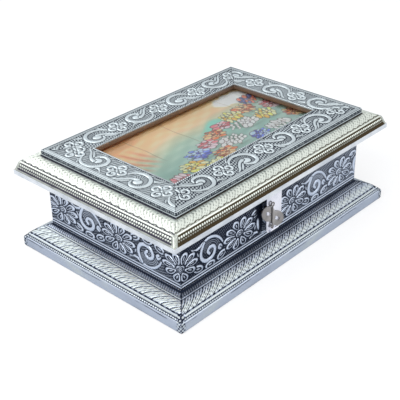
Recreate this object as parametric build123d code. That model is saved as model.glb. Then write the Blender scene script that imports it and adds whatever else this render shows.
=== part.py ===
"""Photo box: a wooden keepsake box clad in embossed foil, with a glazed picture in its hinged lid.

The long side lies along X, the front with the clasp faces -Y, and the underside rests on Z = 0.
All sizes are in millimetres.
"""
import os

from build123d import *

# Box body
BODY_LENGTH = 217.5
BODY_WIDTH = 143.5
WALL = 7.1
FOIL = 0.9
LID_SEAT = 67.5
LID_GAP = 0.2
LINING = 1.0
LINING_BELOW_RIM = 0.8

# Plinth
PLINTH_STEP_END = 18.25
PLINTH_STEP_SIDE = 17.0
PLINTH_HEIGHT = 20.5
PLINTH_EDGE = 8.6
PLINTH_ROUND = 1.6
COVE = 2.4
COVE_DROP = 1.6
BASE_FELT = 1.0
BASE_BOARD = 8.0

# Lid
LID_OVERHANG_END = 19.75
LID_OVERHANG_SIDE = 15.0
LID_BOARD = 4.0
EDGE_FOIL = 0.4
BEVEL_HEIGHT = 6.5
BEVEL_RUN = 2.7
MOULDING_END = 16.5
MOULDING_SIDE = 14.25
MOULDING_RISE = 10.5
MOULDING_UNDER_FRAME = 8.0
LID_LINING = 0.8
LID_LINING_INSET = 3.0

# Picture frame, glass and print
FRAME_BORDER = 29.5
FRAME_THICKNESS = 5.0
FRAME_ROUND = 1.2
REBATE = 6.0
GLASS = 2.0
GLASS_SIDE_GAP = 0.5
GLASS_TOP_GAP = 0.2
PRINT = 0.3

# Lid hinges
HINGE_X = 62.0
HINGE_WIDTH = 24.0
HINGE_SHEET = 0.9
HINGE_KNUCKLE = 1.9
HINGE_PIN = 0.95
PIN_CLEARANCE = 0.05
KNUCKLE_GAP = 0.2
HINGE_OFF_WALL = 0.4
BOX_LEAF_DROP = 14.0
LID_LEAF_REACH = 8.5
NAIL_SHANK = 0.6
NAIL_HEAD = 1.3
NAIL_HEAD_RISE = 0.4
NAIL_LENGTH = 4.0
LID_NAIL_LENGTH = 3.0
BOX_NAIL_ASIDE = 8.5
LID_NAIL_ASIDE = 6.0
BRACKET_NAIL_ASIDE = 5.0

# Clasp
CLASP_X = -8.5
HASP_OFF_WALL = 3.5
HASP_SHEET = 0.8
HASP_KNUCKLE = 1.6
HASP_KNUCKLE_WIDTH = 12.0
HASP_PIN = 0.7
HASP_WIDTH = 18.0
HASP_SHOULDER = 5.0
HASP_LENGTH = 39.5
HASP_CORNER = 3.5
HASP_LIP = 0.9
HASP_LIP_INSET = 4.0
STUD_DROP = 27.3
SLOT_LENGTH = 7.0
SLOT_WIDTH = 4.0
BRACKET_WIDTH = 22.0
BRACKET_REACH = 9.0
BRACKET_END = 1.0
STUD = 1.4
STUD_REACH = 2.1
STUD_PLATE_WIDTH = 13.0
STUD_PLATE_HEIGHT = 8.0
STUD_PLATE = 0.6
STUD_NAIL_SPACING = 4.6

# Leaf-shaped pull on the clasp and the wire staple that holds it
LEAF_ASIDE = -2.2
LEAF_ABOVE_END = 13.5
LEAF_TILT = -38.0
LEAF_SHEET = 0.8
LOBE_LENGTH = 18.4
LOBE_WIDTH = 11.8
LOBE_OFFSET = 6.8
LEAF_SLOT_LENGTH = 7.2
LEAF_SLOT_WIDTH = 2.6
STAPLE_WIRE = 0.5
STAPLE_HALF = 8.6
STAPLE_ASIDE = -3.4
STAPLE_EYE = 1.6
STAPLE_CURL = 1.1

# Levels and half sizes that follow from the sizes above
STRIP_TOP = LID_SEAT + LID_BOARD
BEVEL_TOP = STRIP_TOP + BEVEL_HEIGHT
FRAME_SEAT = STRIP_TOP + MOULDING_RISE
LID_TOP = FRAME_SEAT + FRAME_THICKNESS
GLASS_TOP = FRAME_SEAT - GLASS_TOP_GAP
PRINT_TOP = GLASS_TOP - GLASS
BACKING_TOP = PRINT_TOP - PRINT
WALL_TOP = LID_SEAT - LID_GAP
FLOOR = BASE_FELT + BASE_BOARD
BODY_X = BODY_LENGTH / 2
BODY_Y = BODY_WIDTH / 2
INSIDE_X = BODY_X - FOIL - WALL
INSIDE_Y = BODY_Y - FOIL - WALL
PLINTH_X = BODY_X + PLINTH_STEP_END
PLINTH_Y = BODY_Y + PLINTH_STEP_SIDE
LID_X = BODY_X + LID_OVERHANG_END
LID_Y = BODY_Y + LID_OVERHANG_SIDE
FRAME_X = LID_X - MOULDING_END
FRAME_Y = LID_Y - MOULDING_SIDE
OPENING_X = FRAME_X - FRAME_BORDER
OPENING_Y = FRAME_Y - FRAME_BORDER
HINGE_Y = BODY_Y + HINGE_OFF_WALL + HINGE_KNUCKLE
HINGE_Z = LID_SEAT - HINGE_OFF_WALL - HINGE_KNUCKLE
HASP_Y = -BODY_Y - HASP_OFF_WALL
HASP_Z = LID_SEAT - HINGE_OFF_WALL - HASP_KNUCKLE

SIDES = {"front": (0, -1), "back": (0, 1), "left": (-1, 0), "right": (1, 0)}

parts = {}


def block(x, y, z):
    """A box between the low and high values of each pair."""
    size = [high - low for low, high in (x, y, z)]
    middle = [(high + low) / 2 for low, high in (x, y, z)]
    return Pos(*middle) * Box(*size)


def rod(start, end, radius):
    """A round bar from one point to another along one axis."""
    line = Vector(*end) - Vector(*start)
    return extrude(Plane(start, z_dir=line) * Circle(radius), line.length)


def ring(half_x, half_y, wall, z_low, z_high):
    """A rectangular band: outer half sizes, wall and the two levels."""
    outer = block((-half_x, half_x), (-half_y, half_y), (z_low, z_high))
    inner = block((wall - half_x, half_x - wall), (wall - half_y, half_y - wall), (z_low - 1, z_high + 1))
    return outer - inner


def mitre_prism(side, inner, outer, z_low, z_high):
    """The wedge of plan that one side of a mitred frame may fill.

    The mitre line runs through the inner and outer corners and on past both.
    """
    def corner(share):
        return [a + (b - a) * share for a, b in zip(inner, outer)]

    near, far = corner(-0.75), corner(1.05)
    normal_x, normal_y = SIDES[side]
    if normal_y:
        plan = [(-near[0], normal_y * near[1]), (near[0], normal_y * near[1]),
                (far[0], normal_y * far[1]), (-far[0], normal_y * far[1])]
    else:
        plan = [(normal_x * near[0], -near[1]), (normal_x * near[0], near[1]),
                (normal_x * far[0], far[1]), (normal_x * far[0], -far[1])]
    face = make_face(Polyline(*plan, close=True))
    return Pos(0, 0, z_low) * extrude(face, z_high - z_low, dir=(0, 0, 1))


def mitred(profile, side, inner, outer):
    """Carry a profile (distance outward, height) along one side and cut its mitres."""
    normal_x, normal_y = SIDES[side]
    start = inner[0] if normal_x else inner[1]
    reach = max(outer)
    plane = Plane(origin=(normal_x * start, normal_y * start, 0), x_dir=(normal_x, normal_y, 0),
                  z_dir=(normal_y, -normal_x, 0))
    bar = extrude(plane * profile, reach * 1.1, both=True)
    return bar & mitre_prism(side, inner, outer, -5, LID_TOP + 5)


def width_at(side, inner, outer):
    """How far the moulding on this side reaches outward."""
    return outer[0] - inner[0] if SIDES[side][0] else outer[1] - inner[1]


def skinned(outline, thickness):
    """Split an outline into its wooden core and the foil over its outer and upper faces."""
    shifted = outline & Pos(-thickness, -thickness) * outline
    skin = (outline - shifted).faces().sort_by(SortBy.AREA)[-1]
    return outline - skin, skin


def plinth_outline(width):
    """Cove at the body's foot, a crowned slope, an upright edge and a rounded bottom corner."""
    foot = (0, PLINTH_HEIGHT)
    cove_end = (COVE, PLINTH_HEIGHT - COVE_DROP)
    cove_middle = (COVE * 0.35, PLINTH_HEIGHT - COVE_DROP * 0.75)
    edge = (width, PLINTH_EDGE)
    crown = ((COVE + width) / 2 + 0.6, (cove_end[1] + PLINTH_EDGE) / 2 + 1.0)
    corner_middle = (width - PLINTH_ROUND * 0.293, PLINTH_ROUND * 0.293)
    with BuildSketch() as sketch:
        with BuildLine():
            Polyline((0, 0), (-WALL - FOIL, 0), (-WALL - FOIL, PLINTH_HEIGHT), foot)
            ThreePointArc(foot, cove_middle, cove_end)
            ThreePointArc(cove_end, crown, edge)
            Line(edge, (width, PLINTH_ROUND))
            ThreePointArc((width, PLINTH_ROUND), corner_middle, (width - PLINTH_ROUND, 0))
            Line((width - PLINTH_ROUND, 0), (0, 0))
        make_face()
    return sketch.sketch


def lid_outline(width):
    """Flat seat under the frame, a crowned band, and a steep bevel down to the lid's edge."""
    under = -MOULDING_UNDER_FRAME
    band_end = (width - BEVEL_RUN, BEVEL_TOP)
    crown = (band_end[0] * 0.52, (FRAME_SEAT + BEVEL_TOP) / 2 + 0.9)
    with BuildSketch() as sketch:
        with BuildLine():
            Polyline((width, STRIP_TOP), (under, STRIP_TOP), (under, FRAME_SEAT), (0, FRAME_SEAT))
            ThreePointArc((0, FRAME_SEAT), crown, band_end)
            Line(band_end, (width, STRIP_TOP))
        make_face()
    return sketch.sketch


def frame_outline():
    """Flat top, rounded outer edge, a tongue inside the mouldings and a rebate for the glass."""
    tongue_end = FRAME_BORDER - MOULDING_UNDER_FRAME - GLASS_SIDE_GAP
    points = [(0, FRAME_SEAT), (0, LID_TOP), (FRAME_BORDER, LID_TOP), (FRAME_BORDER, FRAME_SEAT),
              (tongue_end, FRAME_SEAT), (tongue_end, BACKING_TOP), (REBATE, BACKING_TOP), (REBATE, FRAME_SEAT)]
    with BuildSketch() as sketch:
        with BuildLine():
            Polyline(*points, close=True)
        make_face()
        outer_edge = sketch.vertices().sort_by_distance((FRAME_BORDER, LID_TOP))[0]
        fillet(outer_edge, FRAME_ROUND)
    return sketch.sketch


def plinth():
    inner = (BODY_X, BODY_Y)
    outer = (PLINTH_X, PLINTH_Y)
    for side in SIDES:
        core, skin = skinned(plinth_outline(width_at(side, inner, outer)), FOIL)
        parts[f"plinth_moulding_{side}"] = mitred(core, side, inner, outer)
        parts[f"plinth_foil_{side}"] = mitred(skin, side, inner, outer)
    plan_x, plan_y = (-INSIDE_X, INSIDE_X), (-INSIDE_Y, INSIDE_Y)
    parts["base_felt"] = block(plan_x, plan_y, (0, BASE_FELT))
    parts["base_board"] = block(plan_x, plan_y, (BASE_FELT, FLOOR))


def body():
    core_x, core_y = BODY_X - FOIL, BODY_Y - FOIL
    height = (PLINTH_HEIGHT, WALL_TOP)
    parts["wall_front"] = block((-core_x, core_x), (-core_y, -INSIDE_Y), height)
    parts["wall_back"] = block((-core_x, core_x), (INSIDE_Y, core_y), height)
    parts["wall_left"] = block((-core_x, -INSIDE_X), (-INSIDE_Y, INSIDE_Y), height)
    parts["wall_right"] = block((INSIDE_X, core_x), (-INSIDE_Y, INSIDE_Y), height)
    parts["wall_foil"] = ring(BODY_X, BODY_Y, FOIL, *height)
    clear_x = INSIDE_X - LINING
    floor_top = FLOOR + LINING
    lining = (floor_top, WALL_TOP - LINING_BELOW_RIM)
    parts["lining_floor"] = block((-INSIDE_X, INSIDE_X), (-INSIDE_Y, INSIDE_Y), (FLOOR, floor_top))
    parts["lining_front"] = block((-clear_x, clear_x), (-INSIDE_Y, LINING - INSIDE_Y), lining)
    parts["lining_back"] = block((-clear_x, clear_x), (INSIDE_Y - LINING, INSIDE_Y), lining)
    parts["lining_left"] = block((-INSIDE_X, -clear_x), (-INSIDE_Y, INSIDE_Y), lining)
    parts["lining_right"] = block((clear_x, INSIDE_X), (-INSIDE_Y, INSIDE_Y), lining)


def lid():
    board = (LID_SEAT, STRIP_TOP)
    board_x, board_y = LID_X - EDGE_FOIL, LID_Y - EDGE_FOIL
    parts["lid_board"] = block((-board_x, board_x), (-board_y, board_y), board)
    parts["lid_edge_foil"] = ring(LID_X, LID_Y, EDGE_FOIL, *board)
    inner, outer = (FRAME_X, FRAME_Y), (LID_X, LID_Y)
    for side in SIDES:
        core, skin = skinned(lid_outline(width_at(side, inner, outer)), FOIL)
        parts[f"lid_moulding_{side}"] = mitred(core, side, inner, outer)
        parts[f"lid_foil_{side}"] = mitred(skin, side, inner, outer)
    lining_x = INSIDE_X - LINING - LID_LINING_INSET
    lining_y = INSIDE_Y - LINING - LID_LINING_INSET
    parts["lid_lining"] = block((-lining_x, lining_x), (-lining_y, lining_y), (LID_SEAT - LID_LINING, LID_SEAT))


def picture():
    inner, outer = (OPENING_X, OPENING_Y), (FRAME_X, FRAME_Y)
    core, skin = skinned(frame_outline(), FOIL)
    for side in SIDES:
        parts[f"frame_{side}"] = mitred(core, side, inner, outer)
        parts[f"frame_foil_{side}"] = mitred(skin, side, inner, outer)
    backing_x = FRAME_X - MOULDING_UNDER_FRAME - GLASS_SIDE_GAP
    backing_y = FRAME_Y - MOULDING_UNDER_FRAME - GLASS_SIDE_GAP
    parts["backing_board"] = block((-backing_x, backing_x), (-backing_y, backing_y), (STRIP_TOP, BACKING_TOP))
    pane_x = OPENING_X + REBATE - GLASS_SIDE_GAP
    pane_y = OPENING_Y + REBATE - GLASS_SIDE_GAP
    parts["picture_print"] = block((-pane_x, pane_x), (-pane_y, pane_y), (BACKING_TOP, PRINT_TOP))
    parts["glass_pane"] = block((-pane_x, pane_x), (-pane_y, pane_y), (PRINT_TOP, GLASS_TOP))


def nail(point, direction, length):
    """A small nail with a flat head; the point is where the head meets the sheet."""
    way = Vector(*direction)
    head_top = Vector(*point) - way * NAIL_HEAD_RISE
    return rod(point, Vector(*point) + way * length, NAIL_SHANK) + rod(head_top, point, NAIL_HEAD)


def hinge(x):
    """The two leaves and the pin of one hinge, in place."""
    third = HINGE_WIDTH / 3
    bore = rod((x - HINGE_WIDTH, HINGE_Y, HINGE_Z), (x + HINGE_WIDTH, HINGE_Y, HINGE_Z), HINGE_PIN + PIN_CLEARANCE)

    def knuckle(low, high):
        return rod((low, HINGE_Y, HINGE_Z), (high, HINGE_Y, HINGE_Z), HINGE_KNUCKLE)

    ends = (x - HINGE_WIDTH / 2, x + HINGE_WIDTH / 2)
    middle = (x - third / 2 + KNUCKLE_GAP, x + third / 2 - KNUCKLE_GAP)
    room = block((x - third / 2, x + third / 2), (BODY_Y, HINGE_Y + 5), (HINGE_Z - HINGE_KNUCKLE - 0.4, LID_SEAT))
    box_plate = block(ends, (BODY_Y, BODY_Y + HINGE_SHEET), (HINGE_Z - BOX_LEAF_DROP, HINGE_Z))
    box_leaf = box_plate + knuckle(ends[0], x - third / 2) + knuckle(x + third / 2, ends[1])
    plate_start = HINGE_Y + HINGE_KNUCKLE + HINGE_OFF_WALL
    lid_sheet = (LID_SEAT - HINGE_SHEET, LID_SEAT)
    lid_plate = block(ends, (plate_start, HINGE_Y + LID_LEAF_REACH), lid_sheet)
    tail = block(middle, (HINGE_Y, plate_start), lid_sheet)
    pin = rod((ends[0], HINGE_Y, HINGE_Z), (ends[1], HINGE_Y, HINGE_Z), HINGE_PIN)
    return box_leaf - room - bore, lid_plate + tail + knuckle(*middle) - bore, pin


def hinges():
    pins, box_nails, lid_nails = [], [], []
    box_nail_z = HINGE_Z - BOX_LEAF_DROP * 0.68
    lid_nail_y = HINGE_Y + LID_LEAF_REACH * 0.72
    for name, x in (("left", -HINGE_X), ("right", HINGE_X)):
        box_leaf, lid_leaf, pin = hinge(x)
        pins.append(pin)
        for way in (-1, 1):
            box_nail = (x + way * BOX_NAIL_ASIDE, BODY_Y + HINGE_SHEET, box_nail_z)
            lid_nail = (x + way * LID_NAIL_ASIDE, lid_nail_y, LID_SEAT - HINGE_SHEET)
            box_nails.append(nail(box_nail, (0, -1, 0), NAIL_LENGTH))
            lid_nails.append(nail(lid_nail, (0, 0, 1), LID_NAIL_LENGTH))
        parts[f"hinge_leaf_box_{name}"] = box_leaf - Compound(box_nails)
        parts[f"hinge_leaf_lid_{name}"] = lid_leaf - Compound(lid_nails)
    parts["hinge_pins"] = Compound(pins)
    parts["hinge_nails_box"] = Compound(box_nails)
    parts["hinge_nails_lid"] = Compound(lid_nails)
    parts["wall_back"] -= parts["hinge_nails_box"]
    parts["wall_foil"] -= parts["hinge_nails_box"]
    parts["lid_board"] -= parts["hinge_nails_lid"]


def strap():
    """The strap of the clasp, hanging from its knuckle, with its slot and its rolled lip."""
    half = HASP_KNUCKLE_WIDTH / 2
    plane = Plane(origin=(CLASP_X, HASP_Y, HASP_Z), x_dir=(1, 0, 0), z_dir=(0, -1, 0))
    plate_length = HASP_LENGTH - HASP_SHOULDER
    sheet = Pos(0, -HASP_SHOULDER - plate_length / 2) * RectangleRounded(HASP_WIDTH, plate_length, HASP_CORNER)
    sheet += Pos(0, -HASP_SHOULDER / 2 - 1) * Rectangle(HASP_KNUCKLE_WIDTH - 2 * KNUCKLE_GAP, HASP_SHOULDER + 2)
    sheet -= Pos(0, -STUD_DROP) * Rot(0, 0, 90) * SlotOverall(SLOT_LENGTH, SLOT_WIDTH)
    tongue = extrude(plane * sheet, HASP_SHEET / 2, both=True)
    low, high = CLASP_X - half + KNUCKLE_GAP, CLASP_X + half - KNUCKLE_GAP
    tongue += rod((low, HASP_Y, HASP_Z), (high, HASP_Y, HASP_Z), HASP_KNUCKLE)
    lip_y, lip_z = HASP_Y - HASP_LIP * 0.6, HASP_Z - HASP_LENGTH + HASP_LIP
    lip_half = HASP_WIDTH / 2 - HASP_LIP_INSET
    tongue += rod((CLASP_X - lip_half, lip_y, lip_z), (CLASP_X + lip_half, lip_y, lip_z), HASP_LIP)
    parts["hasp"] = tongue - rod((low - 1, HASP_Y, HASP_Z), (high + 1, HASP_Y, HASP_Z), HASP_PIN + PIN_CLEARANCE)


def leaf():
    """The leaf of two lobes with a slot in each, held on the strap by a wire with an eye and a curl."""
    face = HASP_Y - HASP_SHEET / 2
    middle_z = HASP_Z - HASP_LENGTH + LEAF_ABOVE_END
    plane = Plane(origin=(CLASP_X + LEAF_ASIDE, face, middle_z), x_dir=(1, 0, 0), z_dir=(0, -1, 0))
    shape = Sketch()
    for way in (-1, 1):
        shape += Pos(way * LOBE_OFFSET, 0) * Ellipse(LOBE_LENGTH / 2, LOBE_WIDTH / 2)
    for way in (-1, 1):
        shape -= Pos(way * LOBE_OFFSET, 0) * SlotOverall(LEAF_SLOT_LENGTH, LEAF_SLOT_WIDTH)
    parts["hasp_leaf"] = extrude(plane * Rot(0, 0, LEAF_TILT) * shape, LEAF_SHEET)
    x = CLASP_X + STAPLE_ASIDE
    front = face - LEAF_SHEET - STAPLE_WIRE
    top, bottom = middle_z + STAPLE_HALF + 1, middle_z - STAPLE_HALF + 1
    wire = rod((x, front, bottom), (x, front, top), STAPLE_WIRE)
    for z in (top, bottom):
        wire += rod((x, face, z), (x, front, z), STAPLE_WIRE) + Pos(x, front, z) * Sphere(STAPLE_WIRE)
    for z, radius in ((top + STAPLE_EYE, STAPLE_EYE), (bottom - STAPLE_CURL, STAPLE_CURL)):
        wire += Pos(x, front, z) * Rot(90, 0, 0) * Torus(radius, STAPLE_WIRE)
    parts["hasp_staple"] = wire


def clasp():
    strap()
    leaf()
    half = HASP_KNUCKLE_WIDTH / 2
    ends = (CLASP_X - BRACKET_WIDTH / 2, CLASP_X + BRACKET_WIDTH / 2)
    sheet = (LID_SEAT - HASP_SHEET, LID_SEAT)
    plate = block(ends, (HASP_Y - BRACKET_REACH, HASP_Y - HASP_KNUCKLE - HINGE_OFF_WALL), sheet)
    bracket = plate
    for low, high in ((ends[0] + BRACKET_END, CLASP_X - half), (CLASP_X + half, ends[1] - BRACKET_END)):
        bracket += rod((low, HASP_Y, HASP_Z), (high, HASP_Y, HASP_Z), HASP_KNUCKLE)
        bracket += block((low, high), (HASP_Y - HASP_KNUCKLE - HINGE_OFF_WALL, HASP_Y), sheet)
    start, end = (ends[0], HASP_Y, HASP_Z), (ends[1], HASP_Y, HASP_Z)
    bracket -= rod(start, end, HASP_PIN + PIN_CLEARANCE)
    parts["hasp_pin"] = rod((ends[0] + BRACKET_END, HASP_Y, HASP_Z), (ends[1] - BRACKET_END, HASP_Y, HASP_Z),
                            HASP_PIN)
    nail_y = HASP_Y - BRACKET_REACH * 0.65
    nails = Compound([nail((CLASP_X + way * BRACKET_NAIL_ASIDE, nail_y, LID_SEAT - HASP_SHEET), (0, 0, 1),
                           LID_NAIL_LENGTH) for way in (-1, 1)])
    parts["hasp_nails"] = nails
    parts["hasp_bracket"] = bracket - nails
    parts["lid_board"] -= nails
    stud_z = HASP_Z - STUD_DROP
    face = -BODY_Y - STUD_PLATE
    stud = rod((CLASP_X, -BODY_Y + NAIL_LENGTH, stud_z), (CLASP_X, -BODY_Y - STUD_REACH, stud_z), STUD)
    stud = fillet(stud.edges().filter_by(GeomType.CIRCLE).sort_by(Axis.Y)[0], STUD * 0.5)
    stud_nails = Compound([nail((CLASP_X + way * STUD_NAIL_SPACING, face, stud_z), (0, 1, 0), NAIL_LENGTH)
                           for way in (-1, 1)])
    parts["stud"] = stud
    parts["stud_nails"] = stud_nails
    parts["stud_plate"] = block((CLASP_X - STUD_PLATE_WIDTH / 2, CLASP_X + STUD_PLATE_WIDTH / 2), (face, -BODY_Y),
                                (stud_z - STUD_PLATE_HEIGHT / 2, stud_z + STUD_PLATE_HEIGHT / 2))
    for name in ("stud_plate", "wall_foil", "wall_front"):
        parts[name] = parts[name] - stud - stud_nails


def write_parts():
    os.makedirs("parts", exist_ok=True)
    for name, solid in parts.items():
        export_step(solid, f"parts/{name}.step")


plinth()
body()
lid()
picture()
hinges()
clasp()
write_parts()
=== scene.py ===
"""Photo box clad in embossed white-metal foil, dressed around its CAD frame.

Lengths and places in the functions are in millimetres; put_mesh turns them into metres.
"""

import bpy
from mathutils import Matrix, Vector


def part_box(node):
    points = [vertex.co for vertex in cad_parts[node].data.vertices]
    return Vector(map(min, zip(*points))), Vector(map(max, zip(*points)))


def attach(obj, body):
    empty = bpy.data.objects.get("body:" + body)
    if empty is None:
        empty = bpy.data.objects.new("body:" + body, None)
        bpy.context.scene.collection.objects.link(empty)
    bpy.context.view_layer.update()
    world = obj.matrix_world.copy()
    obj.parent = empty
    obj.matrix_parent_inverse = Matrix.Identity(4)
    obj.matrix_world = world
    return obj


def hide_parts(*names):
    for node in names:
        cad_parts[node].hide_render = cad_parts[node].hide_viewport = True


bl_info = {
    "name": "Embossed photo box",
    "version": (1, 0, 0),
    "blender": (4, 5, 0),
    "location": "3D View > Sidebar > Photo box",
    "description": "Embossed foil, glazed picture, velvet and clasp for a keepsake box",
    "category": "Object",
}

import bpy
import numpy as np
from bpy.props import FloatProperty, FloatVectorProperty, PointerProperty
from mathutils import Matrix, Vector

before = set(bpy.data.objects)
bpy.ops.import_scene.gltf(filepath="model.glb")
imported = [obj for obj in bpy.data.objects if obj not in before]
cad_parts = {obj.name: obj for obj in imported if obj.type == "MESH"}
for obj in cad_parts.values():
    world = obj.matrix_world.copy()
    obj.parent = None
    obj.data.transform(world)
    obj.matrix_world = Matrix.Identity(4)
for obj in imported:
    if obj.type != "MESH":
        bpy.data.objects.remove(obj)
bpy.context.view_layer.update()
MM = 0.001

# The way each side of the box faces, along x and y
SIDES = {"front": (0, -1), "back": (0, 1), "left": (-1, 0), "right": (1, 0)}


def corners(node):
    """The lowest and highest corners of a CAD node, in millimetres."""
    low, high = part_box(node)
    return np.array(low) / MM, np.array(high) / MM


def reach(node):
    """How far a node goes along x and along y from the box's middle."""
    return tuple(corners(node)[1][:2])


def levels(node):
    """The heights of a node's foot and top."""
    low, high = corners(node)
    return low[2], high[2]


# Half lengths and half widths of the clad parts and the print, then the heights of their feet and tops
BODY = reach("wall_foil")
PLINTH = reach("plinth_foil_right")
EDGE = reach("lid_edge_foil")
RIM = reach("frame_foil_right")
OPENING = (corners("frame_foil_right")[0][0], -corners("frame_foil_front")[1][1])
PRINT = reach("picture_print")
WALL_FOOT, WALL_TOP = levels("wall_foil")
PLINTH_TOP = levels("plinth_foil_front")[1]
BAND_FOOT, BAND_TOP = levels("lid_foil_front")
RIM_TOP = levels("frame_foil_front")[1]
PRINT_FOOT, PRINT_TOP = levels("picture_print")

# Each band's body, the half sizes inside and outside it, and the radius of its mitred corners
BANDS = {
    "wall": ("box", (0, 0), BODY, 0.15),
    "plinth": ("box", BODY, PLINTH, 1.0),
    "lid": ("lid", RIM, EDGE, 1.8),
    "frame": ("lid", OPENING, RIM, 0.6),
}

# How far each embossed sheet's back lies behind its ridges
SHEET_DEPTH = 0.85

# Where each side's middle lies on a tape that runs round the walls from their near corner, and the tape's way
WALL_TAPE = {"front": (BODY[0], 1), "left": (-BODY[1], -1), "right": (2 * BODY[0] + BODY[1], 1),
             "back": (-2 * BODY[1] - BODY[0], -1)}

# Above the wall's foot: the middle of the flowers, the plain border, its beads and the raised lines
WALL_MIDDLE = 17.3
WALL_BORDER = 33.6
WALL_BEADS = 41.6
WALL_LINES = (1.5, 3.8, 33.0, 35.2, 39.6, 43.6)

# The height of the frame's inner face, and then distances across its top and down its outer face
RIM_INNER_FACE = RIM_TOP - BAND_TOP - 0.35
RIM_ROPE = 1.0
RIM_MIDDLE = 14.2
RIM_RIBS = 25.0
RIM_EDGE = 29.2
RIM_SKIRT = 33.2

# Where one flower of each side of the frame lies, measured along the side
RIM_FLOWER = {"front": 0.8, "left": -48.8, "back": -48.2, "right": -15.4}

# Down the lid's band: the middle of the leaves, the scalloped line, the lip and the two rows of beads
BAND_LEAVES = 6.6
BAND_SCALLOPS = 11.6
BAND_LIP = 13.0
BAND_BEADS = 16.1
BAND_SMALL_BEADS = 18.2

# Down the plinth: the raised lines beside the leaves, their middle, the beads and the creased edge
PLINTH_UPPER_LINE = 6.6
PLINTH_LEAVES = 11.8
PLINTH_LOWER_LINE = 18.3
PLINTH_BEADS = 20.4
PLINTH_CREASE = 23.4

# Grooves of the lid's band in front and on the other sides, and the painted brown reflection on the frame's
# inner face
WARM_GROOVE = (0.055, 0.040, 0.020, 1)
COOL_GROOVE = (0.045, 0.040, 0.062, 1)
BROWN_REFLECTION = (0.22, 0.12, 0.06, 1)

# Each lamp's place and width in metres, and its power; they all face the box's middle
LAMPS = (("key", (-1.0, -0.2, 0.85), 0.8, 10.0), ("fill", (0.5, -0.9, 0.8), 0.9, 4.0),
         ("back", (-0.2, 0.9, 0.9), 0.9, 4.0))
BOX_MIDDLE = Vector((0, 0, 0.04))

# Where the lens stands, in millimetres and degrees, and its focal length
LENS_PLACE = (-476.8, -437.7, 395.4)
LENS_YAW = 46.80
LENS_PITCH = -30.09
LENS_ROLL = -1.27
LENS_LENGTH = 80.53


def length(name, description, size):
    """A length that a user may change: its default is given in millimetres and kept in metres."""
    return FloatProperty(name=name, description=description, default=size * MM, min=0.2 * MM, unit="LENGTH",
                         precision=5)


def colour(name, description, *shade):
    """A colour that a user may change."""
    return FloatVectorProperty(name=name, description=description, subtype="COLOR", default=shade)


class BoxSizes(bpy.types.PropertyGroup):
    """Sizes of the ornament."""

    grid: length("Foil grid", "Spacing of the embossed sheets' points", 0.4)
    wall_relief: length("Wall relief", "Height of the flowers on the walls", 0.78)
    rim_relief: length("Frame relief", "Height of the scrolls on the picture frame", 0.8)
    band_relief: length("Band relief", "Height of the lines beside the leaves on lid and plinth", 0.55)
    wall_pitch: length("Wall repeat", "From one large flower to the next", 64.5)
    rim_pitch: length("Frame repeat", "From one small flower to the next", 46.5)


class BoxColours(bpy.types.PropertyGroup):
    """Base colours of the finishes."""

    silver: colour("Silver foil", "Raised foil on the picture frame", 0.67, 0.75, 0.785)
    blue: colour("Bluish foil", "Raised foil on the walls, dull foil on the plinth", 0.60, 0.68, 0.82)
    cream: colour("Pale foil", "Raised foil on the lid's sloping band", 0.78, 0.83, 0.76)
    plinth: colour("Plinth foil", "Raised foil on the plinth", 0.755, 0.83, 0.79)
    tarnish: colour("Tarnish", "Blackened foil in the grooves", 0.012, 0.017, 0.032)
    velvet: colour("Velvet", "Lining of the box and lid", 0.19, 0.008, 0.022)


def sizes():
    """The scene's sizes, as the panel shows them."""
    return bpy.context.scene.photo_box_sizes


def colours():
    """The scene's base colours, as the panel shows them."""
    return bpy.context.scene.photo_box_colours


def clip01(value):
    """The value, kept from 0 to 1."""
    return np.clip(value, 0.0, 1.0)


def smooth(low, high, value):
    """Smooth step: 0 at low, 1 at high, with level ends."""
    t = clip01((value - low) / (high - low))
    return t * t * (3 - 2 * t)


def curve(points, steps=6):
    """A Catmull-Rom curve through given points: steps points for each span."""
    p = np.array(points, float)
    p = np.vstack([2 * p[0] - p[1], p, 2 * p[-1] - p[-2]])
    t = np.linspace(0, 1, steps, endpoint=False)[:, None]
    spans = [0.5 * (2 * b + (c - a) * t + (2 * a - 5 * b + 4 * c - d) * t ** 2
                    + (3 * b - a - 3 * c + d) * t ** 3)
             for a, b, c, d in zip(p[:-3], p[1:-2], p[2:-1], p[3:])]
    return np.vstack(spans + [p[-2:-1]])


def stroke(x, y, line, halves):
    """Distance of every point from a line, over the line's half width there: 1 on the stroke's edge.

    It is the least over the line's straight spans; the half width runs evenly through the given numbers.
    """
    half = np.interp(np.linspace(0, 1, len(line) - 1), np.linspace(0, 1, len(halves)), halves)
    least = np.inf
    for (ax, ay), (bx, by), width in zip(line[:-1], line[1:], half):
        dx, dy = bx - ax, by - ay
        t = clip01(((x - ax) * dx + (y - ay) * dy) / (dx * dx + dy * dy))
        least = np.minimum(least, np.hypot(x - ax - t * dx, y - ay - t * dy) / width)
    return least


def oval(x, y, half_x, half_y):
    """How far out a point lies in an ellipse: 0 at its middle and 1 on its edge."""
    return np.hypot(x / half_x, y / half_y)


def turned(x, y, angle):
    """Coordinates turned by an angle, so a shape drawn in them turns the other way."""
    c, s = np.cos(angle), np.sin(angle)
    return c * x + s * y, c * y - s * x


def nearest(p, pitch):
    """How far along a row each point is from the nearest of the repeats, which are pitch apart."""
    return np.mod(p + pitch / 2, pitch) - pitch / 2


def between_flowers(p, v, pitch):
    """Coordinates from the middle between two flowers, with v flipped in every other space."""
    space = np.floor(p / pitch)
    return p - pitch * (space + 0.5), np.where(np.mod(space, 2) == 0, v, -v)


def from_mitre(s):
    """How far a point is from its side's nearer end, measured along the side."""
    return np.max(np.abs(s), axis=1, keepdims=True) - np.abs(s)


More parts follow.
